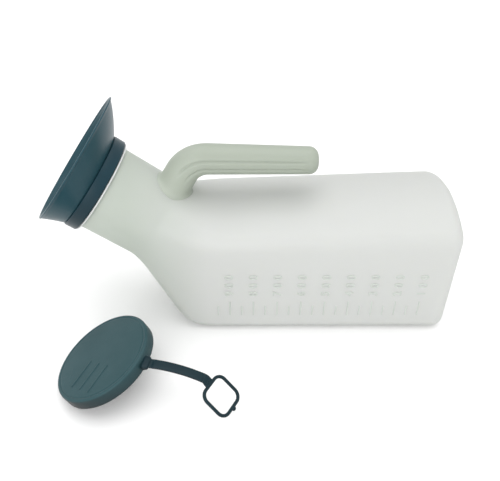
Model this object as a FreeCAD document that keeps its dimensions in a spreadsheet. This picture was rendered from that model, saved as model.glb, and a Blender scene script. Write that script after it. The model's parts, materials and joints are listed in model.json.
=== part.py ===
"""Urine bottle with a push-on funnel adapter and a tethered cap.

The bottle lies on its flat back. X runs from the mouth (-X) to the base (+X), Y across, Z up.
The origin is the middle of the flat back, on the surface that the bottle lies on. Millimetres.
"""
import FreeCAD, Part
import math
import os
import Sketcher
from FreeCAD import Placement, Rotation, Vector

os.makedirs("parts", exist_ok=True)
doc = FreeCAD.newDocument("urine_bottle")
sheet = doc.addObject("Spreadsheet::Sheet", "Sizes")

SIZES = {
    # tank: a tapered loaf, flat below and rounded above
    "base_x": 82.0,
    "base_width": 83.8,
    "base_height": 90.0,
    "front_foot_x": -93.0,
    "front_width": 80.0,
    "front_height": 86.9,
    "front_lean": 12.0,
    "low_corner": 9.0,
    "high_corner": 12.0,
    "roof_radius": 75.0,
    "foot_trim": 0.25,
    "base_edge": 7.0,
    "wall": 1.6,
    # neck axis: leaves this point at this angle above -X, in the middle plane
    "neck_root_x": -106.9,
    "neck_root_z": 62.8,
    "neck_angle": 36.6,
    "neck_radius": 28.7,
    "neck_bore_radius": 26.9,
    "neck_start": 6.0,
    "neck_end": 55.5,
    "stop_radius": 30.6,
    "stop_start": 48.3,
    "stop_length": 1.4,
    "bead_station": 53.6,
    "bead_radius": 0.5,
    # handle: a round bar, open at the base end
    "bar_radius": 9.3,
    "bar_height": 110.9,
    "bar_start_x": -78.0,
    "bar_end_x": -7.0,
    "tip_round": 6.5,
    "bend_radius": 19.0,
    "bend_angle": 60.0,
    "root_length": 24.0,
    "root_radius": 11.0,
    "groove_radius": 0.9,
    "groove_start_x": -76.0,
    "groove_end_x": -16.0,
    "groove_spread": 2.8,
    # volume scale on the near side
    "tick_pitch": 7.85,
    "tick_first_x": 61.5,
    "tick_low_z": 15.0,
    "tick_long": 11.5,
    "tick_short": 7.5,
    "tick_width": 0.8,
    "mark_relief": 0.5,
    "digit_low_z": 32.0,
    "digit_tall": 5.6,
    "digit_wide": 4.2,
    "digit_pitch": 7.2,
    "digit_stroke": 0.8,
    # funnel adapter
    "collar_start": 50.0,
    "collar_end": 58.0,
    "collar_radius": 32.3,
    "collar_bore_radius": 29.5,
    "collar_lip_start": 55.9,
    "throat_radius": 27.2,
    "collar_edge": 0.8,
    "funnel_root_radius": 31.6,
    "funnel_wall": 1.8,
    "funnel_mid": 65.5,
    "funnel_mid_long": 38.9,
    "funnel_mid_short": 36.6,
    "funnel_mid_offset": 5.4,
    "funnel_end": 72.8,
    "funnel_long": 44.8,
    "funnel_short": 41.0,
    "funnel_offset": 8.8,
    # cap, lying tilted with its skirt's mouth edge on the surface
    "cap_x": -141.7,
    "cap_y": -80.5,
    "cap_tilt": 26.0,
    "cap_radius": 32.0,
    "cap_bore_radius": 30.2,
    "cap_depth": 8.0,
    "cap_top": 1.8,
    "cap_edge": 1.2,
    "plug_radius": 26.6,
    "plug_bore_radius": 25.2,
    "plug_depth": 5.0,
    "line_relief": 0.5,
    "line_length": 18.0,
    "line_width": 1.2,
    "line_pitch": 8.0,
    "line_along": -14.4,
    "line_across": -2.5,
    # tether
    "strap_width": 6.0,
    "strap_thick": 2.2,
    "strap_x": -108.45,
    "strap_y": -94.6,
    "strap_z": 29.8,
    "strap_turn": -10.4,
    "strap_curve": 73.6,
    "strap_angle": 24.8,
    "hinge_gap": 0.25,
    "root_width": 9.0,
    "root_depth": 8.0,
    "ring_side": 21.0,
    "ring_bar": 2.1,
    "ring_corner": 6.0,
    "ring_gap": 2.7,
    "ring_tab": 1.2,
    "ring_pitch": 38.0,
    "ring_turn": -19.6,
    "ring_nub": 2.0,
}

for row, (alias, value) in enumerate(SIZES.items(), start=1):
    sheet.set(f"A{row}", alias)
    sheet.set(f"B{row}", str(value))
    sheet.setAlias(f"B{row}", alias)
doc.recompute()


def size(alias):
    """A driving dimension, read back from the sheet."""
    return float(getattr(sheet, alias))


def bind(thing, **links):
    """Bind properties of an object to cells or sums of cells."""
    for name, formula in links.items():
        for alias in sorted(SIZES, key=len, reverse=True):
            formula = formula.replace(f"[{alias}]", f"Sizes.{alias}")
        thing.setExpression(name, formula)
    return thing


def cylinder(name, radius, height, place, angle="360"):
    """A cylinder along its own Z, with its sizes bound to the sheet."""
    thing = doc.addObject("Part::Cylinder", name)
    thing.Placement = place
    return bind(thing, Radius=radius, Height=height, Angle=angle)


def box(name, length, width, height, place):
    """A box with its corner at its own origin."""
    thing = doc.addObject("Part::Box", name)
    thing.Placement = place
    return bind(thing, Length=length, Width=width, Height=height)


def cut(name, base, tool):
    """The base with the tool taken away."""
    thing = doc.addObject("Part::Cut", name)
    thing.Base = base
    thing.Tool = tool
    return thing


def fuse(name, *pieces):
    """Several solids joined into one."""
    thing = doc.addObject("Part::MultiFuse", name)
    thing.Shapes = list(pieces)
    thing.Refine = True
    return thing


def round_edges(name, base, radius, wanted):
    """Fillet the edges of a base that the test picks out."""
    doc.recompute()
    picked = [i for i, edge in enumerate(base.Shape.Edges, start=1) if wanted(edge)]
    thing = doc.addObject("Part::Fillet", name)
    thing.Base = base
    thing.Edges = [(i, radius, radius) for i in picked]
    return thing


def feature(name, shape):
    """A shape made with Part's own functions, where no primitive fits."""
    thing = doc.addObject("Part::Feature", name)
    thing.Shape = shape
    return thing


NODES = []


def keep(thing, label):
    """Name a finished sub-part."""
    thing.Label = label
    NODES.append(thing)
    return thing


# ---------------------------------------------------------------- tank and shoulder

def origin_plane(body, role):
    """One of a body's own origin planes."""
    return [plane for plane in body.Origin.OriginFeatures if plane.Role == role][0]


def section_sketch(body, name, place):
    """An empty sketch on the body's YZ plane, moved along X and leaned."""
    sketch = body.newObject("Sketcher::SketchObject", name)
    sketch.AttachmentSupport = [(origin_plane(body, "YZ_Plane"), "")]
    sketch.MapMode = "FlatFace"
    sketch.AttachmentOffset = place
    return sketch


def loaf_sketch(body, name, place, width, height, inset):
    """A loaf outline: flat bottom, upright sides, soft corners and an arched roof."""
    sketch = section_sketch(body, name, place)
    half = size("front_width") / 2
    low = size("low_corner")
    high = size("high_corner")
    roof = size("roof_radius")
    roof_centre = size("front_height") - roof
    high_across = half - high
    high_up = roof_centre + math.sqrt((roof - high) ** 2 - high_across ** 2)
    eave = math.degrees(math.asin((high_up - roof_centre) / (roof - high)))
    rounds = [
        (half - low, low, low, -90, 0),
        (high_across, high_up, high, 0, eave),
        (0, roof_centre, roof, eave, 180 - eave),
        (-high_across, high_up, high, 180 - eave, 180),
        (low - half, low, low, 180, 270),
    ]
    arcs = []
    for across, up, radius, start, end in rounds:
        circle = Part.Circle(Vector(across, up, 0), Vector(0, 0, 1), radius)
        arcs.append(sketch.addGeometry(Part.ArcOfCircle(circle, math.radians(start), math.radians(end))))
    low_right, high_right, roof_arc, high_left, low_left = arcs
    right = sketch.addGeometry(Part.LineSegment(Vector(half, low, 0), Vector(half, high_up, 0)))
    left = sketch.addGeometry(Part.LineSegment(Vector(-half, high_up, 0), Vector(-half, low, 0)))
    bottom = sketch.addGeometry(Part.LineSegment(Vector(low - half, 0, 0), Vector(half - low, 0, 0)))
    order = [low_right, right, high_right, roof_arc, high_left, left, low_left, bottom]
    for i, piece in enumerate(order):
        following = order[(i + 1) % len(order)]
        sketch.addConstraint(Sketcher.Constraint("Tangent", piece, 2, following, 1))
    for side in (right, left):
        sketch.addConstraint(Sketcher.Constraint("Vertical", side))
    sketch.addConstraint(Sketcher.Constraint("Symmetric", bottom, 1, bottom, 2, -2))
    sketch.addConstraint(Sketcher.Constraint("PointOnObject", roof_arc, 3, -2))
    sketch.addConstraint(Sketcher.Constraint("Equal", low_right, low_left))
    sketch.addConstraint(Sketcher.Constraint("Equal", high_right, high_left))
    measures = [
        (Sketcher.Constraint("DistanceX", left, 1, right, 1, 2 * half), width),
        (Sketcher.Constraint("Radius", low_right, low), f"[low_corner] - {inset}"),
        (Sketcher.Constraint("Radius", high_right, high), f"[high_corner] - {inset}"),
        (Sketcher.Constraint("Radius", roof_arc, roof), f"[roof_radius] - {inset}"),
        (Sketcher.Constraint("DistanceY", roof_arc, 3, -1, 1, -roof_centre), f"[roof_radius] - {height}"),
        (Sketcher.Constraint("DistanceY", bottom, 1, -1, 1, 0.01), f"[foot_trim] - {inset}"),
    ]
    for constraint, formula in measures:
        index = sketch.addConstraint(constraint)
        bind(sketch, **{f"Constraints[{index}]": formula})
    return sketch


def round_sketch(body, name, place, radius):
    """A circle in eight arcs, so that each meets one side or corner of the loaf outline."""
    sketch = section_sketch(body, name, place)
    value = size("neck_radius")
    side_arc = 36
    starts = [side_arc / 2 - 90, side_arc / -2, side_arc / 2, 90 - side_arc / 2]
    starts += [start + 180 for start in starts]
    for i, start in enumerate(starts):
        end = starts[(i + 1) % 8] + (360 if i == 7 else 0)
        circle = Part.Circle(Vector(0, 0, 0), Vector(0, 0, 1), value)
        arc = sketch.addGeometry(Part.ArcOfCircle(circle, math.radians(start), math.radians(end)))
        sketch.addConstraint(Sketcher.Constraint("Coincident", arc, 3, -1, 1))
        if i:
            sketch.addConstraint(Sketcher.Constraint("Coincident", arc - 1, 2, arc, 1))
    sketch.addConstraint(Sketcher.Constraint("Horizontal", 7, 2, 0, 1))
    index = sketch.addConstraint(Sketcher.Constraint("Radius", 0, value))
    bind(sketch, **{f"Constraints[{index}]": radius})
    return sketch


def neck_point(station, up=0.0):
    """A point on the neck axis, and up from it in the middle plane."""
    lean = math.radians(size("neck_angle"))
    x = size("neck_root_x") - station * math.cos(lean) + up * math.sin(lean)
    z = size("neck_root_z") + station * math.sin(lean) + up * math.cos(lean)
    return Vector(x, 0, z)


def on_neck(station, up=0.0):
    """A placement at a neck station, with its own Z out of the mouth."""
    return Placement(neck_point(station, up), Rotation(Vector(0, 1, 0), size("neck_angle") - 90))


def lofted(body, name, profile, sections, ruled):
    """An additive loft through sketches of one body."""
    loft = body.newObject("PartDesign::AdditiveLoft", name)
    loft.Profile = profile
    loft.Sections = sections
    loft.Ruled = ruled
    doc.recompute()
    return loft


def tank_solid(name, inset, neck_radius, mouth_extra):
    """The closed form of the tank and shoulder, drawn in by the inset on every side."""
    body = doc.addObject("PartDesign::Body", name)
    loss = f"2 * {inset}"
    gap = float(inset.replace("[wall]", str(size("wall"))))
    straight = Rotation(Vector(1, 0, 0), 0)
    leaned = Rotation(Vector(1, 0, 0), size("front_lean"))
    front_shift = gap / math.cos(math.radians(size("front_lean")))
    base = loaf_sketch(body, name + "_base_section", Placement(Vector(0, 0, size("base_x") - gap), straight),
                       f"[base_width] - {loss}", "[base_height]", inset)
    front_place = Placement(Vector(0, 0, size("front_foot_x") + front_shift), leaned)
    front = loaf_sketch(body, name + "_front_section", front_place,
                        f"[front_width] - {loss}", "[front_height]", inset)
    centre = neck_point(size("neck_start") + mouth_extra)
    mouth_turn = Rotation(Vector(1, 0, 0), size("neck_angle"))
    mouth = round_sketch(body, name + "_mouth_section", Placement(Vector(0, centre.z, centre.x), mouth_turn),
                         neck_radius)
    doc.recompute()
    lofted(body, name + "_tank", base, [front], True)
    lofted(body, name + "_shoulder", front, [mouth], False)
    edge_x = size("base_x") - gap
    names = []
    for i, edge in enumerate(body.Tip.Shape.Edges, start=1):
        if all(abs(vertex.X - edge_x) < 0.01 for vertex in edge.Vertexes):
            names.append(f"Edge{i}")
    fillet = body.newObject("PartDesign::Fillet", name + "_base_edge")
    fillet.Base = (body.Tip if fillet != body.Tip else fillet.BaseFeature, names)
    bind(fillet, Radius=f"[base_edge] - {inset}")
    body.Tip = fillet
    doc.recompute()
    return body


tank_outside = tank_solid("tank_outside", "0", "[neck_radius]", 0.0)
tank_inside = tank_solid("tank_inside", "[wall]", "[neck_bore_radius]", 0.1)
# the flat back, trimmed level so that the bottle lies steady
trim_place = Placement(Vector(-300, -150, -10), Rotation())
trim = box("trim", "500", "300", "10", trim_place)
keep(cut("tank", tank_outside, fuse("tank_hollow", tank_inside, trim)), "bottle_shell")

# ---------------------------------------------------------------- neck

neck_tube = cylinder("neck_tube", "[neck_radius]", "[neck_end] - [neck_start]", on_neck(size("neck_start")))
neck_stop = cylinder("neck_stop", "[stop_radius]", "[stop_length]", on_neck(size("stop_start")))
neck_bead = doc.addObject("Part::Torus", "neck_bead")
neck_bead.Placement = on_neck(size("bead_station"))
bind(neck_bead, Radius1="[neck_radius]", Radius2="[bead_radius]")
neck_bore = cylinder("neck_bore", "[neck_bore_radius]", "[neck_end] - [neck_start] + 2",
                     on_neck(size("neck_start") - 1))
neck_solid = fuse("neck_solid", neck_tube, neck_stop, neck_bead)
keep(cut("neck", neck_solid, neck_bore), "bottle_neck")

# ---------------------------------------------------------------- handle

along_x = Rotation(Vector(0, 1, 0), 90)
bar_place = Placement(Vector(size("bar_start_x"), 0, size("bar_height")), along_x)
bar_blank = cylinder("bar_blank", "[bar_radius]", "[bar_end_x] - [bar_start_x]", bar_place)


def is_tip_edge(edge):
    """The round edge at the open end of the bar."""
    return abs(edge.BoundBox.XMin - size("bar_end_x")) < 0.01 and abs(edge.BoundBox.XMax - size("bar_end_x")) < 0.01


bar = round_edges("bar", bar_blank, size("tip_round"), is_tip_edge)
bend_centre = Vector(size("bar_start_x"), 0, size("bar_height") - size("bend_radius"))
bend = doc.addObject("Part::Torus", "bend")
bend.Placement = Placement(bend_centre, Rotation(Vector(0, 0, 1), Vector(-1, 0, 0), Vector(0, -1, 0), "ZXY"))
bind(bend, Radius1="[bend_radius]", Radius2="[bar_radius]", Angle3="[bend_angle]")
bend_turn = math.radians(size("bend_angle"))
root_start = bend_centre + Vector(-math.sin(bend_turn), 0, math.cos(bend_turn)) * size("bend_radius")
root_way = Vector(-math.cos(bend_turn), 0, -math.sin(bend_turn))
handle_root = doc.addObject("Part::Cone", "handle_root")
handle_root.Placement = Placement(root_start, Rotation(Vector(0, 0, 1), root_way))
bind(handle_root, Radius1="[bar_radius]", Radius2="[root_radius]", Height="[root_length]")
handle_bar = fuse("handle_bar", bar, bend, handle_root)


def handle_groove(side, level):
    """A round-bottomed groove along one side of the bar, ending in a round."""
    height = size("bar_height") + level
    across = side * math.sqrt(size("bar_radius") ** 2 - level ** 2)
    place = Placement(Vector(size("groove_start_x"), across, height), along_x)
    name = f"groove_{'far' if side > 0 else 'near'}_{'high' if level > 0 else 'low'}"
    line = cylinder(name, "[groove_radius]", "[groove_end_x] - [groove_start_x]", place)
    end = doc.addObject("Part::Sphere", name + "_end")
    end.Placement = Placement(Vector(size("groove_end_x"), across, height), Rotation())
    bind(end, Radius="[groove_radius]")
    return [line, end]


groove_parts = []
for side in (-1, 1):
    for level in (-size("groove_spread"), size("groove_spread")):
        groove_parts += handle_groove(side, level)
handle_tools = fuse("handle_tools", tank_outside, neck_tube, *groove_parts)
keep(cut("handle", handle_bar, handle_tools), "grip_handle")

# ---------------------------------------------------------------- volume scale

wall_slope = (size("base_width") - size("front_width")) / 2 / (size("base_x") - size("front_foot_x"))


def mark(x, z, length_x, length_z):
    """A low raised bar on the near wall, centred at x and starting at height z."""
    bar_shape = Part.makeBox(length_x, size("mark_relief"), length_z)
    half_width = size("front_width") / 2 + wall_slope * (x - size("front_foot_x"))
    turn = Rotation(Vector(0, 0, 1), -math.degrees(math.atan(wall_slope)))
    corner = turn.multVec(Vector(-length_x / 2, -size("mark_relief"), 0))
    bar_shape.Placement = Placement(Vector(x, -half_width, z) + corner, turn)
    return bar_shape


TICK_COUNT = 18
ticks = []
for i in range(TICK_COUNT):
    length = size("tick_long") if i % 2 == 0 else size("tick_short")
    ticks.append(mark(size("tick_first_x") - i * size("tick_pitch"), size("tick_low_z"),
                      size("tick_width"), length))
keep(feature("ticks", Part.makeCompound(ticks)), "scale_ticks")

# strokes of each digit: top, high left, high right, middle, low left, low right, bottom
STROKES = {
    "0": "1110111", "1": "0010010", "2": "1011101", "3": "1011011", "4": "0111010",
    "5": "1101011", "6": "1101111", "7": "1010010", "8": "1111111", "9": "1111011",
}


def digit(character, x, z):
    """A digit in strokes. It stands upright when the bottle stands on its base."""
    tall = size("digit_tall")
    wide = size("digit_wide")
    stroke = size("digit_stroke")
    half_tall = tall / 2 - stroke
    level = {"top": -tall / 2 + stroke / 2, "middle": 0.0, "bottom": tall / 2 - stroke / 2}
    bars = [
        (level["top"], 0, stroke, wide),
        (level["top"] / 2, 0, half_tall - stroke / 2, stroke),
        (level["top"] / 2, wide - stroke, half_tall - stroke / 2, stroke),
        (level["middle"], 0, stroke, wide),
        (level["bottom"] / 2, 0, half_tall - stroke / 2, stroke),
        (level["bottom"] / 2, wide - stroke, half_tall - stroke / 2, stroke),
        (level["bottom"], 0, stroke, wide),
    ]
    shapes = []
    for on, (down, right, length_x, length_z) in zip(STROKES[character], bars):
        if on == "1":
            shapes.append(mark(x + down, z + right, length_x, length_z))
    return shapes


numerals = []
for hundred in range(1, 10):
    label_x = size("tick_first_x") - 2 * (hundred - 1) * size("tick_pitch")
    for place_index, character in enumerate(f"{hundred}00"):
        numerals += digit(character, label_x, size("digit_low_z") + place_index * size("digit_pitch"))
keep(feature("numerals", Part.makeCompound(numerals)), "scale_numerals")

# ---------------------------------------------------------------- funnel adapter

collar_solid = cylinder("collar_solid", "[collar_radius]", "[collar_end] - [collar_start]",
                        on_neck(size("collar_start")))
collar_round = round_edges("collar_round", collar_solid, size("collar_edge"),
                           lambda edge: abs(edge.Length - 2 * math.pi * size("collar_radius")) < 0.1)
collar_bore = cylinder("collar_bore", "[collar_bore_radius]", "[collar_lip_start] - [collar_start] + 1",
                       on_neck(size("collar_start") - 1))
throat = cylinder("throat", "[throat_radius]", "[collar_end] - [collar_start] + 2",
                  on_neck(size("collar_start") - 1))
keep(cut("collar", collar_round, fuse("collar_hollow", collar_bore, throat)), "funnel_collar")


def funnel_form(name, inset, extra):
    """The funnel as a loft from a circle through two ovals, drawn in by the wall."""
    rings = [
        (size("collar_end") - extra, size("funnel_root_radius"), size("funnel_root_radius"), 0.0),
        (size("funnel_mid"), size("funnel_mid_long"), size("funnel_mid_short"), size("funnel_mid_offset")),
        (size("funnel_end") + extra, size("funnel_long"), size("funnel_short"), size("funnel_offset")),
    ]
    sections = []
    for i, (station, long_radius, short_radius, up) in enumerate(rings):
        ring = doc.addObject("Part::Ellipse", f"{name}_{i}")
        ring.MajorRadius = long_radius - inset
        ring.MinorRadius = short_radius - inset
        ring.Placement = on_neck(station, up)
        sections.append(ring)
    loft = doc.addObject("Part::Loft", name)
    loft.Sections = sections
    loft.Solid = True
    return loft


funnel_outside = funnel_form("funnel_outside", 0.0, 0.0)
funnel_inside = funnel_form("funnel_inside", size("funnel_wall"), 0.05)
keep(cut("funnel", funnel_outside, funnel_inside), "funnel_cone")

# ---------------------------------------------------------------- cap

cap_turn = Rotation(Vector(0, 1, 0), -size("cap_tilt"))
cap_rise = (size("cap_radius") * math.sin(math.radians(size("cap_tilt")))
            + size("cap_depth") * math.cos(math.radians(size("cap_tilt"))))
cap_face = Vector(size("cap_x"), size("cap_y"), cap_rise)


def on_cap(x, y, z, spin=0.0):
    """A placement in the cap's own frame: its face at z 0, its mouth below."""
    turn = cap_turn.multiply(Rotation(Vector(0, 0, 1), spin))
    return Placement(cap_face + cap_turn.multVec(Vector(x, y, z)), turn)


cap_solid = cylinder("cap_solid", "[cap_radius]", "[cap_depth]", on_cap(0, 0, -size("cap_depth")))


def is_cap_face_edge(edge):
    """The round edge between the cap's face and its skirt."""
    round_edge = abs(edge.Length - 2 * math.pi * size("cap_radius")) < 0.1
    return round_edge and edge.CenterOfMass.distanceToPoint(cap_face) < 0.1


cap_round = round_edges("cap_round", cap_solid, size("cap_edge"), is_cap_face_edge)
cap_hollow = cylinder("cap_hollow", "[cap_bore_radius]", "[cap_depth] - [cap_top] + 1",
                      on_cap(0, 0, -size("cap_depth") - 1))
keep(cut("cap", cap_round, cap_hollow), "cap_shell")

plug_place = on_cap(0, 0, -size("cap_top") - size("plug_depth"))
plug_solid = cylinder("plug_solid", "[plug_radius]", "[plug_depth]", plug_place)
plug_hollow = cylinder("plug_hollow", "[plug_bore_radius]", "[plug_depth]", plug_place)
keep(cut("plug", plug_solid, plug_hollow), "cap_plug_ring")

WRITE_SPIN = 58.0
lines = []
for i in (-1, 0, 1):
    spot = Rotation(Vector(0, 0, 1), WRITE_SPIN).multVec(
        Vector(size("line_along") - size("line_length") / 2,
               size("line_across") + i * size("line_pitch") - size("line_width") / 2, 0))
    line = box(f"write_line_{i + 2}", "[line_length]", "[line_width]", "[line_relief]",
               on_cap(spot.x, spot.y, 0, WRITE_SPIN))
    lines.append(line)
line_group = doc.addObject("Part::Compound", "write_lines")
line_group.Links = lines
keep(line_group, "cap_write_lines")

# ---------------------------------------------------------------- tether

strap_turn = Rotation(Vector(0, 0, 1), size("strap_turn"))
strap_start = Vector(size("strap_x"), size("strap_y"), size("strap_z"))


def on_strap(along, across, up):
    """A placement in the strap's frame, with +X away from the cap."""
    return Placement(strap_start + strap_turn.multVec(Vector(along, across, up)), strap_turn)


# root block: from the skirt to just short of the first hinge line
half_thick = size("strap_thick") / 2
block_reach = half_thick + size("hinge_gap")
root_block = box("root_block", "[root_depth]", "[root_width]", "[strap_thick]",
                 on_strap(-block_reach - size("root_depth"), -size("root_width") / 2, -half_thick))
root_skirt = cylinder("root_skirt", "[cap_radius]", "[cap_depth]", on_cap(0, 0, -size("cap_depth")))
keep(cut("root", root_block, root_skirt), "strap_root")

# the strap: an arc of flat section, with a round end on each hinge line
lay_down = Rotation(Vector(1, 0, 0), Vector(0, 0, 1), Vector(0, -1, 0), "ZXY")
arc_centre = strap_start + Vector(0, 0, -size("strap_curve"))


def strap_sector(name, radius):
    """A sector of a disc as thick as the strap is wide, about the arc's centre."""
    away = strap_turn.multiply(lay_down).multiply(Rotation(Vector(0, 0, 1), 90 - size("strap_angle")))
    place = Placement(arc_centre + strap_turn.multVec(Vector(0, size("strap_width") / 2, 0)), away)
    return cylinder(name, radius, "[strap_width]", place, "[strap_angle]")


strap_arc = cut("strap_arc", strap_sector("strap_outer", "[strap_curve] + [strap_thick] / 2"),
                strap_sector("strap_inner", "[strap_curve] - [strap_thick] / 2"))
sweep = math.radians(size("strap_angle"))
end_along = size("strap_curve") * math.sin(sweep)
end_up = size("strap_curve") * (math.cos(sweep) - 1)


def round_end(name, along, up):
    """A cylinder across the strap, on a hinge line."""
    place = on_strap(along, size("strap_width") / 2, up)
    place.Rotation = place.Rotation.multiply(Rotation(Vector(1, 0, 0), 90))
    return cylinder(name, "[strap_thick] / 2", "[strap_width]", place)


keep(fuse("strap", strap_arc, round_end("strap_end_cap", 0, 0), round_end("strap_end_ring", end_along, end_up)),
     "tether_strap")

# the ring: a rounded square frame that hangs from the strap's end, a little turned
def on_ring(along, across, up):
    """A placement in the ring's frame: +X away from the strap, in the ring's plane."""
    place = on_strap(end_along, 0, end_up)
    place.Rotation = place.Rotation.multiply(Rotation(Vector(0, 0, 1), size("ring_turn")))
    place.Rotation = place.Rotation.multiply(Rotation(Vector(0, 1, 0), size("ring_pitch")))
    place.Base = place.Base + place.Rotation.multVec(Vector(along, across, up))
    return place


ring_start = size("ring_gap") + size("ring_tab")
inner_corner = size("ring_corner") - size("ring_bar")


def is_upright(edge):
    """An edge through the thickness of the ring."""
    return abs(edge.Length - size("strap_thick")) < 0.01 or abs(edge.Length - size("strap_thick") - 2) < 0.01


ring_outer = round_edges(
    "ring_outer",
    box("ring_outer_box", "[ring_side]", "[ring_side]", "[strap_thick]",
        on_ring(ring_start, -size("ring_side") / 2, -half_thick)),
    size("ring_corner"), is_upright)
ring_inner = round_edges(
    "ring_inner",
    box("ring_inner_box", "[ring_side] - 2 * [ring_bar]", "[ring_side] - 2 * [ring_bar]", "[strap_thick] + 2",
        on_ring(ring_start + size("ring_bar"), size("ring_bar") - size("ring_side") / 2, -half_thick - 1)),
    inner_corner, is_upright)
ring_tab = box("ring_tab_box", "[ring_tab] + 1", "[strap_width]", "[strap_thick]",
               on_ring(size("ring_gap"), -size("strap_width") / 2, -half_thick))
nub_place = on_ring(ring_start + size("ring_side") - 0.6, -1.5, -half_thick)
ring_nub = box("ring_nub_box", "[ring_nub]", "3", "[strap_thick]", nub_place)
ring_frame = cut("ring_frame", ring_outer, ring_inner)
keep(fuse("ring", ring_frame, ring_tab, ring_nub), "tether_ring")

# ---------------------------------------------------------------- checks and export

doc.recompute()
for thing in doc.Objects:
    if "Invalid" in thing.State or "Error" in thing.State:
        raise RuntimeError(f"{thing.Name} failed: {thing.State}")
for node in NODES:
    if node.Shape.isNull() or not node.Shape.isValid():
        raise RuntimeError(f"{node.Label} has a bad shape")
    bounds = node.Shape.BoundBox
    print(f"{node.Label:16s} solids {len(node.Shape.Solids):3d} volume {node.Shape.Volume:10.1f} "
          f"x {bounds.XMin:.1f} {bounds.XMax:.1f} y {bounds.YMin:.1f} {bounds.YMax:.1f} "
          f"z {bounds.ZMin:.2f} {bounds.ZMax:.2f}")
for node in NODES:
    node.Shape.exportStep(f"parts/{node.Label}.step")
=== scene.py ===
import json
import math

import bpy
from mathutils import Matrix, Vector
from mathutils.bvhtree import BVHTree


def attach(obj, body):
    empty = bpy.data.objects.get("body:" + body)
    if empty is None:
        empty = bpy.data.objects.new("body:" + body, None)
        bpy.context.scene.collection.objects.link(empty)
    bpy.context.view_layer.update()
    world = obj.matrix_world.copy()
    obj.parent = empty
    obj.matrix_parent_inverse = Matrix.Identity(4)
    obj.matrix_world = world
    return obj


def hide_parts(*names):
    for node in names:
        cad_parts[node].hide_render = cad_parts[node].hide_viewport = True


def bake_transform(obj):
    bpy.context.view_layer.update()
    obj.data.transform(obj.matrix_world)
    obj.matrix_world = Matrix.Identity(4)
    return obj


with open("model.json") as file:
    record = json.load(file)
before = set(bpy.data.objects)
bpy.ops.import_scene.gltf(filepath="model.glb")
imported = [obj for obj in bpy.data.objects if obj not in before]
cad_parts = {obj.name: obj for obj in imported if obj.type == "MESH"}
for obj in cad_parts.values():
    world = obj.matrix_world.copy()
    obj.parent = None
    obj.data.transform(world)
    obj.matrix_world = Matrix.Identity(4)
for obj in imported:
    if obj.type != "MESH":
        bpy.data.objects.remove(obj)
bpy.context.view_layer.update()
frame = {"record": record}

MM = 0.001
behaviour = frame["record"]["behaviour"]


def joint(name):
    """The record's entry for a joint."""
    return [entry for entry in behaviour["joints"] if entry["name"] == name][0]


# ---------------------------------------------------------------- sizes, in millimetres

BASE_X, BASE_WIDTH, BASE_HEIGHT = 82.0, 83.8, 90.0
FRONT_X, FRONT_WIDTH, FRONT_HEIGHT = -93.0, 80.0, 86.9
FRONT_LEAN = math.radians(12.0)
LOW_CORNER, HIGH_CORNER, ROOF_RADIUS, BASE_EDGE = 9.0, 12.0, 75.0, 7.0
WALL = 1.6
NECK_ROOT = Vector((-106.9, 0, 62.8))
NECK_LEAN = math.radians(36.6)
NECK_OUT = Vector((-math.cos(NECK_LEAN), 0, math.sin(NECK_LEAN)))
NECK_UP = Vector((math.sin(NECK_LEAN), 0, math.cos(NECK_LEAN)))
ACROSS = Vector((0, 1, 0))
UPRIGHT = Vector((0, 0, 1))
NECK_RADIUS, NECK_START, NECK_END = 28.7, 6.0, 55.5
BAR_RADIUS, BAR_HEIGHT = 9.3, 110.9
BAR_GROWTH, BAR_RISE, FOOT_RADIUS = 0.55, 0.8, 10.7
BAR_START, BAR_END, TIP_ROUND = -77.2, -7.0, 6.0
BEND_RADIUS, BEND_ANGLE = 19.0, math.radians(60.0)


# ---------------------------------------------------------------- mesh helpers

def add_mesh(name, points, faces, material, smooth_angle=None, level=0):
    """A mesh object from points in millimetres, with its material."""
    mesh = bpy.data.meshes.new(name)
    mesh.from_pydata([tuple(Vector(point) * MM) for point in points], [], faces)
    mesh.validate()
    piece = bpy.data.objects.new(name, mesh)
    bpy.context.scene.collection.objects.link(piece)
    mesh.materials.append(material)
    mesh.polygons.foreach_set("use_smooth", [True] * len(mesh.polygons))
    if smooth_angle is not None:
        mesh.set_sharp_from_angle(angle=math.radians(smooth_angle))
    if level:
        rounding = piece.modifiers.new("rounding", "SUBSURF")
        rounding.levels = level
        rounding.render_levels = level
    return piece


def skin(rings, start_cap=False, end_cap=False, loop=False):
    """Points and faces of a surface through rings with the same number of points."""
    count = len(rings[0])
    points = [point for ring in rings for point in ring]
    faces = []
    spans = len(rings) if loop else len(rings) - 1
    for row in range(spans):
        after = (row + 1) % len(rings)
        for i in range(count):
            j = (i + 1) % count
            faces.append((row * count + i, row * count + j, after * count + j, after * count + i))
    if start_cap:
        middle = sum((Vector(point) for point in rings[0]), Vector()) / count
        points.append(middle)
        faces += [(len(points) - 1, (i + 1) % count, i) for i in range(count)]
    if end_cap:
        middle = sum((Vector(point) for point in rings[-1]), Vector()) / count
        points.append(middle)
        last = (len(rings) - 1) * count
        faces += [(last + i, last + (i + 1) % count, len(points) - 1) for i in range(count)]
    return points, faces


LATHE_AROUND = 160


def oval(centre, side, up, half_side, half_up, count):
    """A ring of points round an ellipse."""
    ring = []
    for i in range(count):
        turn = 2 * math.pi * i / count
        ring.append(centre + side * half_side * math.cos(turn) + up * half_up * math.sin(turn))
    return ring


def join_meshes(parts):
    """Several (points, faces) as one."""
    points, faces = [], []
    for part_points, part_faces in parts:
        shift = len(points)
        points += part_points
        faces += [tuple(shift + i for i in face) for face in part_faces]
    return points, faces


PILL_STEPS, PILL_TIP, PILL_AROUND = 5, 0.05, 16


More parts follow.
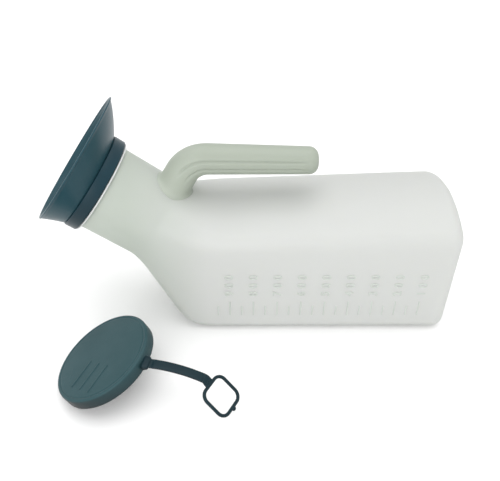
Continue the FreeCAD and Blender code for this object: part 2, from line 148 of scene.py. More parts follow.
def pill(start, end, out, width, relief):
    """A low rounded bar on a surface, from start to end, standing out by the relief."""
    along = (end - start).normalized()
    side = along.cross(out).normalized()
    turns = [math.pi / 2 * i / PILL_STEPS for i in range(PILL_STEPS)]
    stations = [(start - along * (width / 2) * math.cos(turn), math.sin(turn)) for turn in turns]
    stations += [(start, 1.0), (end, 1.0)]
    stations += [(end + along * (width / 2) * math.cos(turn), math.sin(turn)) for turn in reversed(turns)]
    rings = []
    for centre, scale in stations:
        scale = max(scale, PILL_TIP)
        rings.append(oval(centre, side, out, width / 2 * scale, relief * scale, PILL_AROUND))
    return skin(rings, True, True)


# ---------------------------------------------------------------- materials

def new_material(name):
    """An empty node material with its output node."""
    material = bpy.data.materials.new(name)
    material.use_nodes = True
    nodes = material.node_tree.nodes
    nodes.clear()
    output = nodes.new("ShaderNodeOutputMaterial")
    return material, nodes, material.node_tree.links, output


def noise(nodes, links, scale, detail, roughness=0.55, stretch=(1, 1, 1)):
    """A noise texture in object coordinates."""
    place = nodes.new("ShaderNodeTexCoord")
    mapping = nodes.new("ShaderNodeMapping")
    mapping.inputs["Scale"].default_value = stretch
    texture = nodes.new("ShaderNodeTexNoise")
    texture.inputs["Scale"].default_value = scale
    texture.inputs["Detail"].default_value = detail
    texture.inputs["Roughness"].default_value = roughness
    links.new(place.outputs["Object"], mapping.inputs["Vector"])
    links.new(mapping.outputs["Vector"], texture.inputs["Vector"])
    return texture.outputs["Fac"]


def ramp(nodes, links, factor, low, high, low_colour, high_colour):
    """A colour ramp between two places on a factor."""
    node = nodes.new("ShaderNodeValToRGB")
    node.color_ramp.elements[0].position = low
    node.color_ramp.elements[0].color = (*low_colour, 1)
    node.color_ramp.elements[1].position = high
    node.color_ramp.elements[1].color = (*high_colour, 1)
    links.new(factor, node.inputs["Fac"])
    return node.outputs["Color"]


def bump(nodes, links, height, strength, distance, after=None):
    """A bump node, stacked on another if given."""
    node = nodes.new("ShaderNodeBump")
    node.inputs["Strength"].default_value = strength
    node.inputs["Distance"].default_value = distance
    links.new(height, node.inputs["Height"])
    if after is not None:
        links.new(after, node.inputs["Normal"])
    return node.outputs["Normal"]


NECK_TINT_START, NECK_TINT_END = -0.078, -0.130
CLOUD_SHARE = 0.10


def milky_plastic(name, thin, thick, see_through, roughness):
    """Blow-moulded polyethylene: cloudy and waxy, turning from thin to thick towards the neck."""
    material, nodes, links, output = new_material(name)
    body = nodes.new("ShaderNodeBsdfPrincipled")
    body.inputs["Roughness"].default_value = roughness
    body.inputs["IOR"].default_value = 1.5
    body.inputs["Subsurface Weight"].default_value = 0.25
    body.inputs["Subsurface Radius"].default_value = (0.006, 0.006, 0.005)
    body.inputs["Subsurface Scale"].default_value = 1.0
    clouds = noise(nodes, links, 14, 3)
    position = nodes.new("ShaderNodeTexCoord")
    split = nodes.new("ShaderNodeSeparateXYZ")
    links.new(position.outputs["Object"], split.inputs["Vector"])
    toward_neck = nodes.new("ShaderNodeMapRange")
    toward_neck.inputs["From Min"].default_value = NECK_TINT_START
    toward_neck.inputs["From Max"].default_value = NECK_TINT_END
    links.new(split.outputs["X"], toward_neck.inputs["Value"])
    mixing = nodes.new("ShaderNodeMath")
    mixing.operation = "MULTIPLY_ADD"
    mixing.inputs[1].default_value = CLOUD_SHARE
    links.new(clouds, mixing.inputs[0])
    links.new(toward_neck.outputs["Result"], mixing.inputs[2])
    colour = ramp(nodes, links, mixing.outputs["Value"], 0.0, 1.0, thin, thick)
    links.new(colour, body.inputs["Base Color"])
    ripple = bump(nodes, links, noise(nodes, links, 28, 2), 0.25, 0.0006)
    grain = bump(nodes, links, noise(nodes, links, 900, 2), 0.12, 0.00008, ripple)
    links.new(grain, body.inputs["Normal"])
    glow = nodes.new("ShaderNodeBsdfTranslucent")
    links.new(colour, glow.inputs["Color"])
    links.new(ripple, glow.inputs["Normal"])
    mix = nodes.new("ShaderNodeMixShader")
    mix.inputs["Fac"].default_value = see_through
    links.new(body.outputs["BSDF"], mix.inputs[1])
    links.new(glow.outputs["BSDF"], mix.inputs[2])
    links.new(mix.outputs["Shader"], output.inputs["Surface"])
    return material


def slate_plastic(name, base, worn, roughness, scratches, underside):
    """Injection-moulded dark plastic: satin grain, flow marks, light scratches, and painted shade that
    darkens faces turned away from up.
    """
    material, nodes, links, output = new_material(name)
    body = nodes.new("ShaderNodeBsdfPrincipled")
    body.inputs["IOR"].default_value = 1.5
    body.inputs["Specular IOR Level"].default_value = 0.2
    flow = noise(nodes, links, 45, 5, 0.6)
    colour = ramp(nodes, links, flow, 0.3, 0.75, base, worn)
    # Painted shade: the colour is scaled down on faces turned away from up, to the underside factor on faces
    # looking straight down.
    facing = nodes.new("ShaderNodeNewGeometry")
    upward = nodes.new("ShaderNodeSeparateXYZ")
    links.new(facing.outputs["Normal"], upward.inputs["Vector"])
    painted_shade = nodes.new("ShaderNodeMapRange")
    painted_shade.interpolation_type = "SMOOTHSTEP"
    painted_shade.inputs["From Min"].default_value = -0.5
    painted_shade.inputs["From Max"].default_value = 0.85
    painted_shade.inputs["To Min"].default_value = underside
    painted_shade.inputs["To Max"].default_value = 1.0
    links.new(upward.outputs["Z"], painted_shade.inputs["Value"])
    shade = nodes.new("ShaderNodeVectorMath")
    shade.operation = "SCALE"
    links.new(colour, shade.inputs[0])
    links.new(painted_shade.outputs["Result"], shade.inputs["Scale"])
    links.new(shade.outputs["Vector"], body.inputs["Base Color"])
    gloss = nodes.new("ShaderNodeMapRange")
    gloss.inputs["To Min"].default_value = roughness - 0.06
    gloss.inputs["To Max"].default_value = roughness + 0.08
    links.new(noise(nodes, links, 160, 3), gloss.inputs["Value"])
    links.new(gloss.outputs["Result"], body.inputs["Roughness"])
    last = bump(nodes, links, noise(nodes, links, 1500, 2), 0.18, 0.00005)
    for stretch in ((4, 130, 4), (110, 6, 110)):
        streaks = noise(nodes, links, 9, 2, 0.5, stretch)
        thin = ramp(nodes, links, streaks, 0.66, 0.70, (0, 0, 0), (1, 1, 1))
        last = bump(nodes, links, thin, scratches, 0.00006, last)
    links.new(last, body.inputs["Normal"])
    links.new(body.outputs["BSDF"], output.inputs["Surface"])
    return material


bottle_plastic = milky_plastic("bottle_plastic", (0.79, 0.80, 0.78), (0.65, 0.695, 0.635), 0.42, 0.36)
handle_plastic = milky_plastic("handle_plastic", (0.375, 0.415, 0.35), (0.53, 0.575, 0.50), 0.15, 0.40)
# A near-white copy of the bottle plastic: painted highlight for the lit edge of the neck's stop rim.
rim_highlight_plastic = milky_plastic("rim_highlight_plastic", (0.93, 0.94, 0.93), (0.93, 0.94, 0.93), 0.2, 0.3)
mark_plastic = milky_plastic("mark_plastic", (0.66, 0.70, 0.65), (0.66, 0.70, 0.65), 0.2, 0.4)
# The last number of each sets how dark its painted shade gets underneath.
adapter_plastic = slate_plastic("adapter_plastic", (0.016, 0.055, 0.072), (0.022, 0.066, 0.084),
                                roughness=0.32, scratches=0.10, underside=0.9)
# The collar gets a darker copy of the funnel's plastic: painted shade.
collar_shaded_plastic = slate_plastic("collar_shaded_plastic", (0.008, 0.033, 0.047), (0.012, 0.042, 0.058),
                               roughness=0.32, scratches=0.10, underside=0.6)
cap_plastic = slate_plastic("cap_plastic", (0.024, 0.064, 0.073), (0.034, 0.078, 0.088),
                            roughness=0.42, scratches=0.30, underside=0.08)
tether_plastic = slate_plastic("tether_plastic", (0.004, 0.018, 0.025), (0.007, 0.024, 0.032),
                               roughness=0.38, scratches=0.12, underside=0.5)


# ---------------------------------------------------------------- bottle: tank, shoulder and neck in one skin

SIDE_POINTS = 14
CORNER_POINTS = 12
CIRCLE_SIDE = math.radians(36.0)
SMALLEST_CORNER = 1.5


def arc_points(across, up, radius, start, end, count):
    """Points along an arc in degrees, without its last one."""
    points = []
    for k in range(count):
        turn = math.radians(start + (end - start) * k / count)
        points.append((across + radius * math.cos(turn), up + radius * math.sin(turn)))
    return points


def line_points(start, end, count):
    """Points along a straight line, without its last one."""
    return [tuple(a + (b - a) * k / count for a, b in zip(start, end)) for k in range(count)]


def loaf_points(width, height, inset):
    """A loaf outline as (across, up) points, from the foot of the high right corner round."""
    low = max(LOW_CORNER - inset, SMALLEST_CORNER)
    high = max(HIGH_CORNER - inset, SMALLEST_CORNER)
    roof = ROOF_RADIUS - inset
    half = width / 2 - inset
    roof_centre = height - ROOF_RADIUS
    across = half - high
    up = roof_centre + math.sqrt((roof - high) ** 2 - across ** 2)
    eave = math.degrees(math.asin((up - roof_centre) / (roof - high)))
    outline = arc_points(across, up, high, 0, eave, CORNER_POINTS)
    outline += arc_points(0, roof_centre, roof, eave, 180 - eave, SIDE_POINTS)
    outline += arc_points(-across, up, high, 180 - eave, 180, CORNER_POINTS)
    outline += line_points((-half, up), (-half, inset + low), SIDE_POINTS)
    outline += arc_points(low - half, inset + low, low, 180, 270, CORNER_POINTS)
    outline += line_points((low - half, inset), (half - low, inset), SIDE_POINTS)
    outline += arc_points(half - low, inset + low, low, 270, 360, CORNER_POINTS)
    outline += line_points((half, inset + low), (half, up), SIDE_POINTS)
    return outline


def circle_turns():
    """The angle on the neck of each point of the loaf outline."""
    corner_arc = math.pi / 2 - CIRCLE_SIDE
    turns = []
    turn = CIRCLE_SIDE / 2
    for _ in range(4):
        for k in range(CORNER_POINTS):
            turns.append(turn + corner_arc * k / CORNER_POINTS)
        turn += corner_arc
        for k in range(SIDE_POINTS):
            turns.append(turn + CIRCLE_SIDE * k / SIDE_POINTS)
        turn += CIRCLE_SIDE
    return turns


TURNS = circle_turns()


def base_ring(x, inset):
    """The base's outline at x, drawn in by the inset."""
    return [Vector((x, across, up)) for across, up in loaf_points(BASE_WIDTH, BASE_HEIGHT, inset)]


def front_ring():
    """The leaned cross section where the shoulder starts."""
    lean = Vector((math.sin(FRONT_LEAN), 0, math.cos(FRONT_LEAN)))
    foot = Vector((FRONT_X, 0, 0))
    outline = loaf_points(FRONT_WIDTH, FRONT_HEIGHT, 0.0)
    return [foot + ACROSS * across + lean * up for across, up in outline]


def neck_point(station, up=0.0):
    """A point at a neck station, in the middle plane."""
    return NECK_ROOT + NECK_OUT * station + NECK_UP * up


def neck_ring(station, radius):
    """A circle on the neck whose points follow on from the loaf outline's."""
    centre = neck_point(station)
    return [centre + ACROSS * radius * math.cos(turn) + NECK_UP * radius * math.sin(turn) for turn in TURNS]


CORNER_REACH, LONGEST_SHARE, REACH_STEPS = 14.0, 0.46, 8


def rounded_path(corners):
    """A path through corners that rounds each inner one with a short curve."""
    path = [corners[0]]
    for i in range(1, len(corners) - 1):
        before, here, after = corners[i - 1], corners[i], corners[i + 1]
        back = min(CORNER_REACH, LONGEST_SHARE * (here - before).length)
        ahead = min(CORNER_REACH, LONGEST_SHARE * (after - here).length)
        start = here + (before - here).normalized() * back
        end = here + (after - here).normalized() * ahead
        for k in range(REACH_STEPS + 1):
            share = k / REACH_STEPS
            path.append(start * (1 - share) ** 2 + here * 2 * share * (1 - share) + end * share ** 2)
    path.append(corners[-1])
    return path


# The recessed base as (depth, inset) pairs, from its middle outwards.
BASE_DISH = [(0.9, 30.0), (0.9, 12.0), (0.63, 10.2), (0.1, 8.6)]
base_rings = [base_ring(BASE_X - depth, inset) for depth, inset in BASE_DISH]
EDGE_STEPS = 8
for k in range(EDGE_STEPS + 1):
    turn = math.pi / 2 * (1 - k / EDGE_STEPS)
    x = BASE_X - BASE_EDGE + BASE_EDGE * math.sin(turn)
    base_rings.append(base_ring(x, BASE_EDGE * (1 - math.cos(turn))))

TANK_START = BASE_X - BASE_EDGE - 0.5
NECK_STRAIGHT = 19.0
TANK_STEPS = 24
path_corners = zip(base_ring(TANK_START, 0.0), front_ring(), neck_ring(NECK_START, NECK_RADIUS),
                   neck_ring(NECK_STRAIGHT, NECK_RADIUS))
path_rings = [list(ring) for ring in zip(*[rounded_path(corners) for corners in path_corners])]
even_rings = []
for k in range(1, TANK_STEPS):
    even_rings.append([a.lerp(b, k / TANK_STEPS) for a, b in zip(path_rings[0], path_rings[1])])

# The neck with its stop rim and snap bead, as (station, radius) pairs.
NECK_PROFILE = [
    (20.5, 28.7), (26.0, 28.7), (34.0, 28.7), (42.0, 28.7), (47.0, 28.7), (47.9, 28.85), (48.2, 29.3),
    (48.3, 30.1), (48.6, 30.5), (49.0, 30.6), (49.4, 30.5), (49.7, 30.1), (49.8, 29.3), (50.0, 28.8),
    (51.5, 28.7), (52.9, 28.7), (53.3, 28.95), (53.6, 29.1), (53.9, 28.95), (54.3, 28.7), (55.0, 28.6),
    (55.4, 28.3), (NECK_END, 27.9), (NECK_END, 27.4),
]
neck_rings = [neck_ring(station, radius) for station, radius in NECK_PROFILE]
body_rings = base_rings + [path_rings[0]] + even_rings + path_rings[1:] + neck_rings

# The mould's parting line runs round the middle plane as a low ridge.
SEAM_RELIEF, SEAM_WIDTH = 0.22, 0.9
for ring in body_rings:
    middle = sum(ring, Vector()) / len(ring)
    for i, point in enumerate(ring):
        away = point - middle
        away.y = 0
        if away.length > 1 and abs(point.y) < SEAM_WIDTH and point.z > 1:
            ring[i] = point + away.normalized() * SEAM_RELIEF * (1 - abs(point.y) / SEAM_WIDTH)

outer_points, outer_faces = skin(body_rings, True, False)
bottle_body = add_mesh("bottle_body", outer_points, outer_faces, bottle_plastic)
wall = bottle_body.modifiers.new("wall", "SOLIDIFY")
wall.thickness = WALL * MM
# The wall grows inwards, whichever way the skin's faces look.
wall.offset = -1 if bottle_body.data.polygons[0].normal.x > 0 else 1
wall.use_even_offset = False
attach(bottle_body, "bottle")
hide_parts("bottle_shell", "bottle_neck")


def turned_on_neck(profile):
    """A closed turned form on the neck axis, from (station, radius) pairs."""
    rings = []
    for station, radius in profile:
        rings.append(oval(neck_point(station), ACROSS, NECK_UP, radius, radius, LATHE_AROUND))
    return skin(rings, loop=True)


# The stop rim is drawn again, a little proud of the neck, in the near-white plastic: a painted highlight
# along its lit edge.
RIM_PROFILE = [
    (48.9, 29.9), (48.9, 31.0), (49.0, 31.3), (49.2, 31.45), (49.5, 31.45), (49.7, 31.3), (49.8, 31.0),
    (49.8, 29.9),
]
rim = add_mesh("neck_stop_rim", *turned_on_neck(RIM_PROFILE), rim_highlight_plastic, smooth_angle=60)
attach(rim, "bottle")
bottle_tree = BVHTree.FromPolygons([Vector(p) for p in outer_points], outer_faces)


# ---------------------------------------------------------------- handle

AROUND = 120
GROOVE_OFFSET, GROOVE_DEPTH = 2.8, 0.85
GROOVE_TURN = math.asin(GROOVE_OFFSET / BAR_RADIUS)
GROOVE_END, GROOVE_FADE, GROOVE_RUN_IN = -15.0, 3.0, 4
GROOVE_SPREAD = math.radians(4.2)
FOOT_SEARCH = 60.0


def groove_depth(turn, strength):
    """How deep the side grooves cut in at a turn about the bar. Turn 0 points across."""
    depth = 0.0
    for middle in (GROOVE_TURN, -GROOVE_TURN, math.pi - GROOVE_TURN, math.pi + GROOVE_TURN):
        gap = (turn - middle + math.pi) % (2 * math.pi) - math.pi
        depth += GROOVE_DEPTH * math.exp(-(gap / GROOVE_SPREAD) ** 2)
    return depth * strength


def bar_ring(centre, way, radius, groove=0.0):
    """A ring round the bar, where way is the direction along it in the middle plane."""
    up = way.cross(ACROSS)
    ring = []
    for i in range(AROUND):
        turn = 2 * math.pi * i / AROUND
        reach = radius - groove_depth(turn, groove)
        ring.append(centre + ACROSS * reach * math.cos(turn) + up * reach * math.sin(turn))
    return ring


def bar_middle(x):
    """The middle of the bar at x, which falls a little towards the open end."""
    share = (x - BAR_START) / (BAR_END - BAR_START)
    return Vector((x, 0, BAR_HEIGHT + BAR_RISE * (1 - 2 * share)))


def bar_thickness(x):
    """The radius of the bar at x, which narrows a little towards the open end."""
    share = (x - BAR_START) / (BAR_END - BAR_START)
    return BAR_RADIUS + BAR_GROWTH * (1 - 2 * share)


bend_centre = bar_middle(BAR_START) - Vector((0, 0, BEND_RADIUS))
root_top = bend_centre + Vector((-math.sin(BEND_ANGLE), 0, math.cos(BEND_ANGLE))) * BEND_RADIUS
root_way = Vector((math.cos(BEND_ANGLE), 0, math.sin(BEND_ANGLE)))


def foot_ring(extra, lift):
    """A ring of the flared foot, laid on the bottle and lifted off it."""
    up = root_way.cross(ACROSS)
    ring = []
    for i in range(AROUND):
        turn = 2 * math.pi * i / AROUND
        spot = root_top + (ACROSS * math.cos(turn) + up * math.sin(turn)) * (FOOT_RADIUS + extra)
        hit = bottle_tree.ray_cast(spot, -root_way, FOOT_SEARCH)[0]
        ring.append(hit + root_way * lift)
    return ring


# The flare of the foot, as (how far out, how far up) pairs.
FOOT_FLARE = [(2.6, -0.5), (1.7, 0.1), (1.0, 0.8), (0.5, 1.7), (0.2, 2.9), (0.0, 4.4)]
handle_rings = [foot_ring(extra, lift) for extra, lift in FOOT_FLARE]
BEND_STEPS = 12
for k in range(BEND_STEPS + 1):
    turn = BEND_ANGLE * (1 - k / BEND_STEPS)
    centre = bend_centre + Vector((-math.sin(turn), 0, math.cos(turn))) * BEND_RADIUS
    fade = min(k / GROOVE_RUN_IN, 1.0)
    radius = FOOT_RADIUS + (bar_thickness(BAR_START) - FOOT_RADIUS) * k / BEND_STEPS
    handle_rings.append(bar_ring(centre, Vector((math.cos(turn), 0, math.sin(turn))), radius, fade))
BAR_STEPS = 30
for k in range(1, BAR_STEPS + 1):
    x = BAR_START + (BAR_END - TIP_ROUND - BAR_START) * k / BAR_STEPS
    fade = min(max((GROOVE_END - x) / GROOVE_FADE, 0.0), 1.0)
    handle_rings.append(bar_ring(bar_middle(x), Vector((1, 0, 0)), bar_thickness(x), fade))
TIP_STEPS = 12
for k in range(1, TIP_STEPS + 1):
    turn = math.pi / 2 * k / TIP_STEPS
    x = BAR_END - TIP_ROUND * (1 - math.sin(turn))
    radius = bar_thickness(x) - TIP_ROUND * (1 - math.cos(turn))
    handle_rings.append(bar_ring(bar_middle(x), Vector((1, 0, 0)), radius))
handle = add_mesh("grip_bar", *skin(handle_rings, False, True), handle_plastic, level=1)
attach(handle, "bottle")
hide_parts("grip_handle")


# ---------------------------------------------------------------- volume scale

TICK_FIRST, TICK_PITCH, TICK_COUNT = 61.5, 7.85, 18
TICK_LOW, TICK_LONG, TICK_SHORT, TICK_WIDTH = 15.0, 11.5, 7.5, 0.9
NUMBER_LOW, NUMBER_TALL = 32.0, 5.6
MARK_RELIEF = 0.5
DIGIT_SHARE = 0.7
wall_slope = (BASE_WIDTH - FRONT_WIDTH) / 2 / (BASE_X - FRONT_X)
wall_out = Vector((-wall_slope, -1, 0)).normalized()


def near_wall(x, z):
    """A point on the near wall of the tank."""
    return Vector((x, -(FRONT_WIDTH / 2 + wall_slope * (x - FRONT_X)), z))


tick_parts = []
for i in range(TICK_COUNT):
    x = TICK_FIRST - i * TICK_PITCH
    top = TICK_LOW + (TICK_LONG if i % 2 == 0 else TICK_SHORT)
    tick_parts.append(pill(near_wall(x, TICK_LOW), near_wall(x, top), wall_out, TICK_WIDTH, MARK_RELIEF))
ticks = add_mesh("scale_lines", *join_meshes(tick_parts), mark_plastic)
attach(ticks, "bottle")
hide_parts("scale_ticks")


def raised_number(text, x):
    """Digits on the near wall that read upwards from NUMBER_LOW, as (points, faces)."""
    curve = bpy.data.curves.new("digits", "FONT")
    curve.body = text
    curve.size = NUMBER_TALL / DIGIT_SHARE
    curve.space_character = 1.75
    curve.extrude = 0.28
    curve.bevel_depth = 0.1
    curve.bevel_resolution = 1
    curve.resolution_u = 3
    curve.align_y = "CENTER"
    holder = bpy.data.objects.new("digits", curve)
    bpy.context.scene.collection.objects.link(holder)
    mesh = bpy.data.meshes.new_from_object(holder.evaluated_get(bpy.context.evaluated_depsgraph_get()))
    start = near_wall(x, NUMBER_LOW)
    digit_top = Vector((-1, 0, 0))
    points = [start + UPRIGHT * v.co.x + digit_top * v.co.y + wall_out * v.co.z for v in mesh.vertices]
    faces = [tuple(polygon.vertices) for polygon in mesh.polygons]
    bpy.data.objects.remove(holder)
    bpy.data.meshes.remove(mesh)
    return points, faces


number_parts = []
for hundred in range(1, 10):
    x = TICK_FIRST - 2 * (hundred - 1) * TICK_PITCH
    number_parts.append(raised_number(f"{hundred}00", x))
numbers = add_mesh("scale_numbers", *join_meshes(number_parts), mark_plastic, smooth_angle=30)
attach(numbers, "bottle")
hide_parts("scale_numerals")


# ---------------------------------------------------------------- funnel adapter

# The collar as (station, radius) pairs: outside, then the inner lip, then the bore.
COLLAR_PROFILE = [
    (50.00, 29.9), (50.00, 30.6), (50.02, 31.3), (50.15, 31.85), (50.5, 32.2), (51.0, 32.3), (54.0, 32.3),
    (57.0, 32.3), (57.5, 32.2), (57.85, 31.85), (57.98, 31.3), (58.0, 30.4), (58.0, 29.0), (58.0, 27.4),
    (57.8, 27.2), (56.1, 27.2), (55.9, 27.4), (55.9, 29.3), (55.7, 29.5), (54.0, 29.5), (51.0, 29.5),
    (50.2, 29.6),
]
collar = add_mesh("adapter_collar", *turned_on_neck(COLLAR_PROFILE), collar_shaded_plastic, smooth_angle=50)
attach(collar, "adapter")
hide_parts("funnel_collar")

FUNNEL_START, FUNNEL_END = 58.0, 72.8
FUNNEL_ROOT, FUNNEL_LONG, FUNNEL_SHORT, FUNNEL_OFFSET = 31.6, 44.8, 41.0, 8.8
LONG_BOW, SHORT_BOW, OFFSET_BOW = 1.18, 1.10, 1.43
FUNNEL_WALL, THROAT_EXTRA, LIP = 1.8, 2.4, 0.9
FUNNEL_STEPS, LIP_STEPS, FUNNEL_AROUND = 14, 8, 192


def bowed(share, slope):
    """A share that rises with a given slope at first and still ends at 1."""
    return slope * share + (1 - slope) * share ** 2


def funnel_ring(share, inset, station_shift=0.0):
    """A ring of the funnel. Share runs from 0 at the collar to 1 at the rim."""
    station = FUNNEL_START + (FUNNEL_END - FUNNEL_START) * share + station_shift
    long_radius = FUNNEL_ROOT + (FUNNEL_LONG - FUNNEL_ROOT) * bowed(share, LONG_BOW) - inset
    short_radius = FUNNEL_ROOT + (FUNNEL_SHORT - FUNNEL_ROOT) * bowed(share, SHORT_BOW) - inset
    centre = neck_point(station, FUNNEL_OFFSET * bowed(share, OFFSET_BOW))
    return oval(centre, ACROSS, NECK_UP, short_radius, long_radius, FUNNEL_AROUND)


funnel_rings = [funnel_ring(k / FUNNEL_STEPS, 0.0) for k in range(FUNNEL_STEPS)]
for k in range(LIP_STEPS + 1):
    turn = math.pi * k / LIP_STEPS
    funnel_rings.append(funnel_ring(1.0, LIP - LIP * math.cos(turn), LIP * (math.sin(turn) - 1.0)))
for k in reversed(range(FUNNEL_STEPS)):
    throat = 1.0 - k / FUNNEL_STEPS
    funnel_rings.append(funnel_ring(k / FUNNEL_STEPS, FUNNEL_WALL + THROAT_EXTRA * throat ** 3))
funnel = add_mesh("adapter_funnel", *skin(funnel_rings, loop=True), adapter_plastic)
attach(funnel, "adapter")
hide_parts("funnel_cone")


# ---------------------------------------------------------------- cap

CAP_RADIUS, CAP_DEPTH, CAP_TILT = 32.0, 8.0, math.radians(26.0)
cap_normal = Vector((-math.sin(CAP_TILT), 0, math.cos(CAP_TILT)))
cap_side = Vector((math.cos(CAP_TILT), 0, math.sin(CAP_TILT)))
cap_face = Vector((-141.7, -80.5, CAP_RADIUS * math.sin(CAP_TILT) + CAP_DEPTH * math.cos(CAP_TILT)))


def on_cap(x, y, z):
    """A point in the cap's own frame: its face at z 0."""
    return cap_face + cap_side * x + ACROSS * y + cap_normal * z


def cap_lathe(profile, loop=False):
    """A turned form about the cap's axis, from (radius, height) pairs."""
    rings = []
    for radius, height in profile:
        rings.append(oval(on_cap(0, 0, height), cap_side, ACROSS, radius, radius, LATHE_AROUND))
    return skin(rings, start_cap=not loop, end_cap=not loop, loop=loop)


# The cap's disc, with the fine groove inside its edge, its skirt and its underside.
CAP_PROFILE = [
    (8.0, 0.0), (18.0, 0.0), (28.6, 0.0), (29.1, -0.05), (29.4, -0.28), (29.7, -0.28), (30.0, -0.05),
    (30.5, 0.0), (31.0, -0.08), (31.5, -0.36), (31.85, -0.8), (32.0, -1.4), (32.0, -4.0), (32.0, -7.2),
    (31.9, -7.6), (31.6, -7.95), (31.1, -8.0), (30.5, -7.9), (30.25, -7.5), (30.2, -7.0), (30.2, -4.5),
    (30.2, -2.6), (29.9, -2.0), (29.2, -1.8), (27.0, -1.8), (14.0, -1.8),
]
cap = add_mesh("cap_disc", *cap_lathe(CAP_PROFILE), cap_plastic, smooth_angle=60)
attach(cap, "cap")
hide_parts("cap_shell")

PLUG_PROFILE = [
    (26.6, -1.8), (26.6, -3.8), (26.6, -5.8), (26.4, -6.4), (26.1, -6.7), (25.8, -6.8), (25.5, -6.7),
    (25.25, -6.4), (25.2, -5.8), (25.2, -3.8), (25.2, -1.8),
]
plug = add_mesh("cap_seal_ring", *cap_lathe(PLUG_PROFILE, loop=True), cap_plastic, smooth_angle=50)
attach(plug, "cap")
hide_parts("cap_plug_ring")

LINE_SPIN = math.radians(58.0)
LINE_LENGTH, LINE_PITCH, LINE_WIDTH, LINE_RELIEF = 18.0, 8.0, 1.2, 0.45
LINE_ALONG, LINE_ACROSS = -14.4, -2.5
line_parts = []
for i in (-1, 0, 1):
    ends = []
    for along in (LINE_ALONG - LINE_LENGTH / 2, LINE_ALONG + LINE_LENGTH / 2):
        across = LINE_ACROSS + i * LINE_PITCH
        ends.append(on_cap(along * math.cos(LINE_SPIN) - across * math.sin(LINE_SPIN),
                           along * math.sin(LINE_SPIN) + across * math.cos(LINE_SPIN), 0))
    line_parts.append(pill(ends[0], ends[1], cap_normal, LINE_WIDTH, LINE_RELIEF))
lines = add_mesh("cap_lines", *join_meshes(line_parts), cap_plastic)
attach(lines, "cap")
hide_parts("cap_write_lines")


# ---------------------------------------------------------------- tether

strap_start = Vector(joint("strap_flex")["pos_m"]) / MM
ring_hinge = Vector(joint("ring_flex")["pos_m"]) / MM
hinge_way = Vector(joint("strap_flex")["axis"]).normalized()
ring_hinge_way = Vector(joint("ring_flex")["axis"]).normalized()
STRAP_CURVE, STRAP_ANGLE, RING_PITCH = 73.6, math.radians(24.8), math.radians(38.0)
STRAP_WIDTH, STRAP_THICK, STRAP_STEPS = 6.0, 2.2, 18
END_THINNING, END_WIDENING = 0.62, 1.0
HINGE_WEB, WEB_THINNING, WEB_GROWTH, WEB_WIDENING = 1.5, 0.55, 0.08, 0.4
STRAP_AROUND, EDGE_POWER = 28, 0.45


def level_of(sideways):
    """The level direction at right angles to a sideways one."""
    return sideways.cross(UPRIGHT).normalized()


def pitched(level, pitch):
    """A direction pitched down from a level one."""
    return level * math.cos(pitch) - UPRIGHT * math.sin(pitch)


def strap_section(centre, way, sideways, width, thick):
    """A flat section with rounded edges across the strap."""
    up = sideways.cross(way)
    ring = []
    for i in range(STRAP_AROUND):
        turn = 2 * math.pi * i / STRAP_AROUND
        across = math.copysign(abs(math.cos(turn)) ** EDGE_POWER, math.cos(turn)) * width / 2
        rise = math.copysign(abs(math.sin(turn)) ** EDGE_POWER, math.sin(turn)) * thick / 2
        ring.append(centre + sideways * across - up * rise)
    return ring


level_way = level_of(hinge_way)


def strap_point(turn):
    """A point along the strap's arc."""
    ahead = level_way * STRAP_CURVE * math.sin(turn)
    drop = UPRIGHT * STRAP_CURVE * (1 - math.cos(turn))
    return strap_start + ahead - drop


strap_rings = []
for k in range(STRAP_STEPS + 1):
    turn = STRAP_ANGLE * k / STRAP_STEPS
    at_end = k in (0, STRAP_STEPS)
    thick = STRAP_THICK * (END_THINNING if at_end else 1.0)
    width = STRAP_WIDTH + (END_WIDENING if at_end else 0.0)
    strap_rings.append(strap_section(strap_point(turn), pitched(level_way, turn), hinge_way, width, thick))
strap = add_mesh("tether_band", *skin(strap_rings, True, True), tether_plastic, level=1)
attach(strap, "strap")
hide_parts("tether_strap")


def web(name, hinge, stops):
    """The thin living hinge that crosses a joint. A stop is (way, sideways, distance)."""
    rings = []
    for way, sideways, along in stops:
        thick = STRAP_THICK * (WEB_THINNING + WEB_GROWTH * abs(along))
        rings.append(strap_section(hinge + way * along, way, sideways, STRAP_WIDTH + WEB_WIDENING, thick))
    piece = add_mesh(name, *skin(rings, True, True), tether_plastic, level=1)
    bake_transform(piece)


CAP_WEB = (-2.2, -1.4, -0.7, 0, 0.7, 1.4, 2.2)
RING_WEB = (-2.2, -1.4, -0.7, 0, 0.8, 1.6, 2.4, 3.4)
TURN_START, TURN_LENGTH = -1.4, 4.0
web("hinge_web_cap", strap_start, [(level_way, hinge_way, along) for along in CAP_WEB])
end_way = pitched(level_way, STRAP_ANGLE)
ring_way = pitched(level_of(ring_hinge_way), RING_PITCH)
ring_stops = []
for along in RING_WEB:
    share = min(max((along - TURN_START) / TURN_LENGTH, 0), 1)
    way = end_way.lerp(ring_way, share).normalized()
    sideways = hinge_way.lerp(ring_hinge_way, share).normalized()
    ring_stops.append((way, sideways, along))
web("hinge_web_ring", ring_hinge, ring_stops)

# The block on the skirt, as (along, width, thickness) from the hinge back into the cap.
BLOCK_SECTIONS = [(-1.2, 7.2, 2.0), (-1.6, 8.2, 2.6), (-3.2, 9.0, 3.4), (-5.6, 10.0, 4.2)]
block_rings = []
for along, width, thick in BLOCK_SECTIONS:
    block_rings.append(strap_section(strap_start + level_way * along, level_way, hinge_way, width, thick))
block = add_mesh("tether_root", *skin(block_rings, True, True), tether_plastic, level=1)
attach(block, "cap")
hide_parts("strap_root")

RING_SIDE, RING_BAR, RING_CORNER, RING_START = 21.0, 2.1, 6.0, 3.9
RING_CORNER_STEPS = 8
ring_up = ring_hinge_way.cross(ring_way)
ring_centre = ring_hinge + ring_way * (RING_START + RING_SIDE / 2)


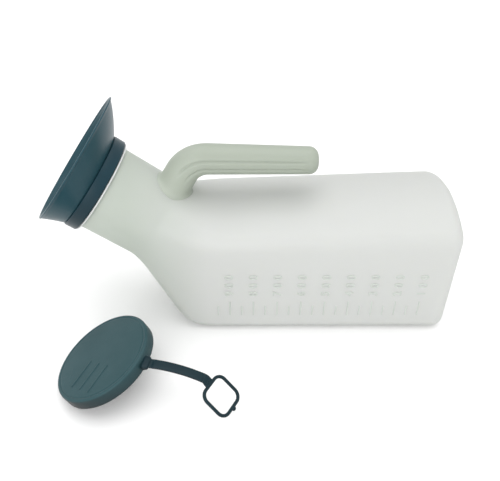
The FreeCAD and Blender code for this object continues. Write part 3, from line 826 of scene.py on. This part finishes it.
def ring_route():
    """The middle line of the rounded square ring, with its outward direction."""
    half = RING_SIDE / 2 - RING_BAR / 2
    radius = RING_CORNER - RING_BAR / 2
    route = []
    for corner in range(4):
        start = math.pi / 2 * corner
        centre_along = (half - radius) * (1 if corner in (0, 3) else -1)
        centre_across = (half - radius) * (1 if corner in (0, 1) else -1)
        centre = ring_centre + ring_way * centre_along + ring_hinge_way * centre_across
        for k in range(RING_CORNER_STEPS + 1):
            turn = start + math.pi / 2 * k / RING_CORNER_STEPS
            out = ring_way * math.cos(turn) + ring_hinge_way * math.sin(turn)
            route.append((centre + out * radius, out))
    return route


frame_rings = []
for point, out in ring_route():
    frame_rings.append(oval(point, out, ring_up, RING_BAR / 2, STRAP_THICK / 2, 16))
ring_parts = [skin(frame_rings, loop=True)]
# The tab that joins the hinge to the ring, as (along, width) pairs.
TAB_SECTIONS = [(2.8, 6.0), (3.4, 6.2), (4.2, 6.6), (5.2, 7.6)]
TAB_THICK = STRAP_THICK * 0.9
tab_rings = []
for along, width in TAB_SECTIONS:
    tab_rings.append(strap_section(ring_hinge + ring_way * along, ring_way, ring_hinge_way, width, TAB_THICK))
ring_parts.append(skin(tab_rings, True, True))
# The pull nub at the far end of the ring, as (reach, share of its section) pairs.
NUB_SECTIONS = [(0.0, 1.0), (0.9, 1.0), (1.5, 0.85), (1.9, 0.5)]
NUB_WIDTH, NUB_THICK, NUB_SUNK = 1.5, 1.0, 0.8
nub_base = ring_centre + ring_way * (RING_SIDE / 2 - NUB_SUNK)
nub_rings = []
for reach, scale in NUB_SECTIONS:
    centre = nub_base + ring_way * reach
    nub_rings.append(oval(centre, ring_hinge_way, ring_up, NUB_WIDTH * scale, NUB_THICK * scale, 20))
ring_parts.append(skin(nub_rings, False, True))
tether_ring = add_mesh("tether_loop", *join_meshes(ring_parts), tether_plastic, smooth_angle=60)
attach(tether_ring, "ring")
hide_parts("tether_ring")


# ---------------------------------------------------------------- floor, light and camera

floor_material, floor_nodes, floor_links, floor_output = new_material("floor")
floor_shader = floor_nodes.new("ShaderNodeBsdfPrincipled")
floor_shader.inputs["Base Color"].default_value = (0.96, 0.96, 0.96, 1)
floor_shader.inputs["Roughness"].default_value = 0.8
floor_links.new(floor_shader.outputs["BSDF"], floor_output.inputs["Surface"])
FLOOR_REACH = 3000.0
floor_corners = [(x * FLOOR_REACH, y * FLOOR_REACH, 0) for x, y in ((-1, -1), (1, -1), (1, 1), (-1, 1))]
floor = add_mesh("floor", floor_corners, [(0, 1, 2, 3)], floor_material)

world = bpy.data.worlds.new("studio")
bpy.context.scene.world = world
bpy.context.scene.view_settings.view_transform = "Standard"
world.use_nodes = True
background = world.node_tree.nodes["Background"]
background.inputs["Color"].default_value = (1.0, 1.0, 1.0, 1)
background.inputs["Strength"].default_value = 0.92


def softbox(name, place, target, side, power):
    """A square white area light aimed at a point, in metres."""
    light = bpy.data.lights.new(name, "AREA")
    light.size = side
    light.energy = power
    holder = bpy.data.objects.new(name, light)
    bpy.context.scene.collection.objects.link(holder)
    holder.location = place
    holder.rotation_euler = (Vector(target) - Vector(place)).to_track_quat("-Z", "Y").to_euler()


softbox("top", (0.0, 0.1, 1.5), (0, 0, 0.05), 1.6, 11)
softbox("front", (-0.4, -1.2, 0.6), (-0.05, 0, 0.05), 1.0, 6)

ELEVATION, YAW = math.radians(37.3), math.radians(0.78)
CAMERA_PLACE = Vector((-54.4, -309.4, 282.8))
level_look = Vector((math.sin(YAW), math.cos(YAW), 0))
look = level_look * math.cos(ELEVATION) - UPRIGHT * math.sin(ELEVATION)
lens = bpy.data.cameras.new("camera")
lens.sensor_width = 36.0
lens.lens = 40.14
lens.clip_start = 0.01
camera = bpy.data.objects.new("camera", lens)
bpy.context.scene.collection.objects.link(camera)
camera.location = CAMERA_PLACE * MM
camera.rotation_euler = look.to_track_quat("-Z", "Y").to_euler()
bpy.context.scene.camera = camera
